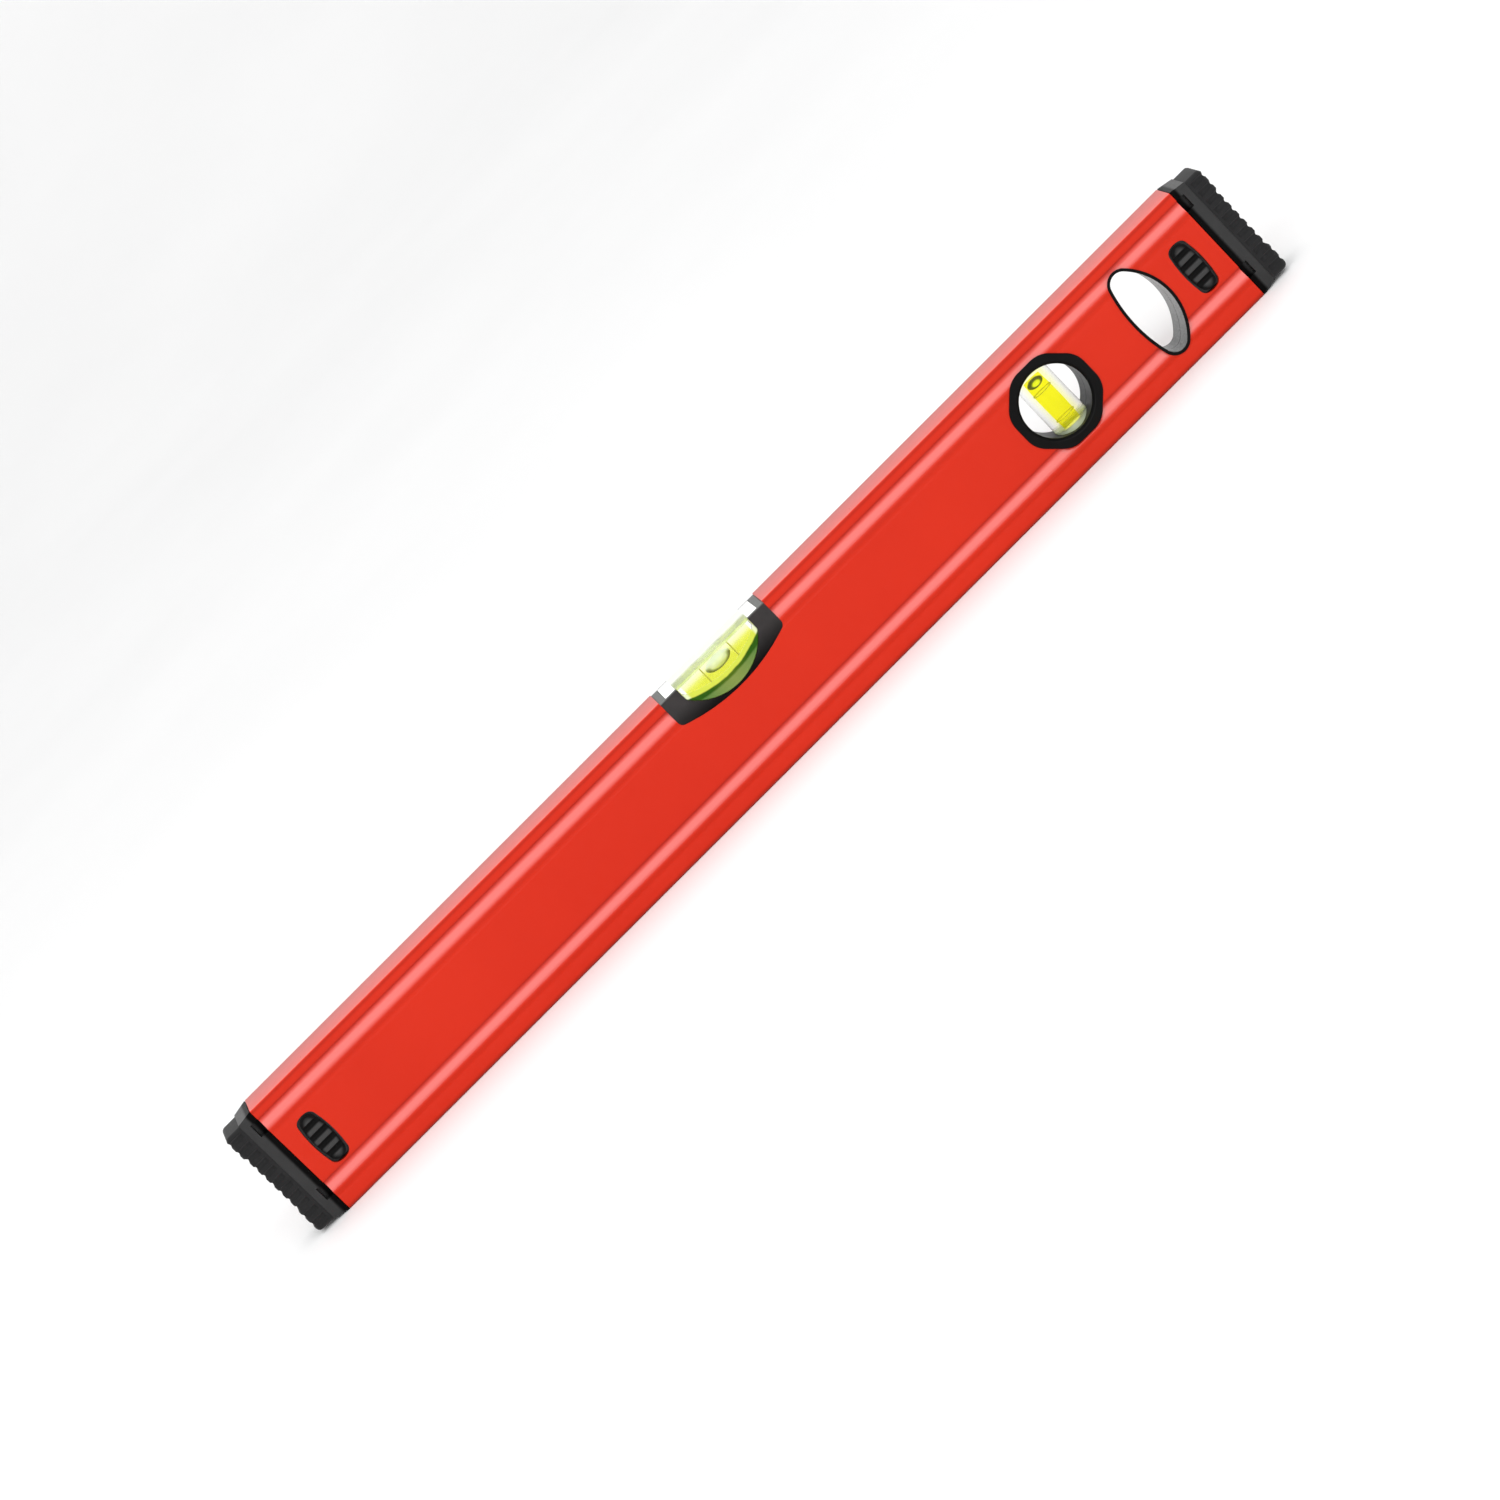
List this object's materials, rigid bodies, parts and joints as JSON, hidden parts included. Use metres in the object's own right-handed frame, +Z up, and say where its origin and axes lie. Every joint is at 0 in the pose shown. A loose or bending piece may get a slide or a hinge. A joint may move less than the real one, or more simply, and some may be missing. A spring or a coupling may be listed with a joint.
{
  "type": "box section spirit level",
  "caption": "Box-section spirit level with level and plumb vials, an oval hand hole and pull-off ribbed end caps.",
  "frame": {"origin": "centre of the lower measuring face, on the surface the level stands on", "axes": "+X along the level towards the plumb window end, +Y from the front face to the back face, +Z up to the vial edge"},
  "size_m": [0.6, 0.0262, 0.0625],
  "materials": {
    "profile_red": "satin",
    "holder_black": "matte",
    "vial_acrylic": "polished",
    "vial_fluid": "polished",
    "mark_black": "gloss",
    "bubble": "polished",
    "ring_black": "satin",
    "liner_black": "satin",
    "cap_charcoal": "matte",
    "bumper_rubber": "matte"
  },
  "bodies": {
    "frame": {"profile": "profile_red", "level_vial_holder": "holder_black", "level_vial_block": "vial_acrylic", "level_vial_fluid": "vial_fluid", "level_vial_rings": "mark_black", "plumb_ring_front": "ring_black", "plumb_ring_back": "ring_black", "plumb_vial_body": "vial_acrylic", "plumb_vial_fluid": "vial_fluid", "plumb_vial_rings": "mark_black", "hand_hole_liner_front": "liner_black", "hand_hole_liner_back": "liner_black"},
    "left_cap": {"left_cap_core": "cap_charcoal", "left_cap_bumper": "bumper_rubber"},
    "right_cap": {"right_cap_core": "cap_charcoal", "right_cap_bumper": "bumper_rubber"},
    "left_front_stopper": {"left_front_stopper_carrier": "cap_charcoal", "left_front_stopper_pad": "bumper_rubber"},
    "left_back_stopper": {"left_back_stopper_carrier": "cap_charcoal", "left_back_stopper_pad": "bumper_rubber"},
    "right_front_stopper": {"right_front_stopper_carrier": "cap_charcoal", "right_front_stopper_pad": "bumper_rubber"},
    "right_back_stopper": {"right_back_stopper_carrier": "cap_charcoal", "right_back_stopper_pad": "bumper_rubber"},
    "level_bubble": {"level_bubble": "bubble"},
    "plumb_bubble": {"plumb_bubble": "bubble"}
  },
  "joints": [
    {"name": "left_cap_pull", "type": "slide", "parent": "frame", "child": "left_cap", "axis": [-1, 0, 0], "range_m": [0, 0.04], "deforming": ["left_front_stopper_pad", "left_back_stopper_pad"]},
    {"name": "right_cap_pull", "type": "slide", "parent": "frame", "child": "right_cap", "axis": [1, 0, 0], "range_m": [0, 0.04], "deforming": ["right_front_stopper_pad", "right_back_stopper_pad"]},
    {"name": "left_front_stopper_press", "type": "slide", "parent": "left_cap", "child": "left_front_stopper", "axis": [0, 1, 0], "range_m": [0, 0.003], "stiffness_N_per_m": 1000, "springref_m": -0.003},
    {"name": "left_back_stopper_press", "type": "slide", "parent": "left_cap", "child": "left_back_stopper", "axis": [0, -1, 0], "range_m": [0, 0.003], "stiffness_N_per_m": 1000, "springref_m": -0.003},
    {"name": "right_front_stopper_press", "type": "slide", "parent": "right_cap", "child": "right_front_stopper", "axis": [0, 1, 0], "range_m": [0, 0.003], "stiffness_N_per_m": 1000, "springref_m": -0.003},
    {"name": "right_back_stopper_press", "type": "slide", "parent": "right_cap", "child": "right_back_stopper", "axis": [0, -1, 0], "range_m": [0, 0.003], "stiffness_N_per_m": 1000, "springref_m": -0.003},
    {"name": "level_bubble_travel", "type": "slide", "parent": "frame", "child": "level_bubble", "axis": [1, 0, 0], "range_m": [-0.012, 0.012], "stiffness_N_per_m": 0.5, "deforming": ["level_vial_fluid"]},
    {"name": "plumb_bubble_travel", "type": "slide", "parent": "frame", "child": "plumb_bubble", "axis": [0, 0, 1], "range_m": [-0.0215, 0], "stiffness_N_per_m": 0.1, "springref_m": 0.2, "deforming": ["plumb_vial_fluid"]}
  ]
}
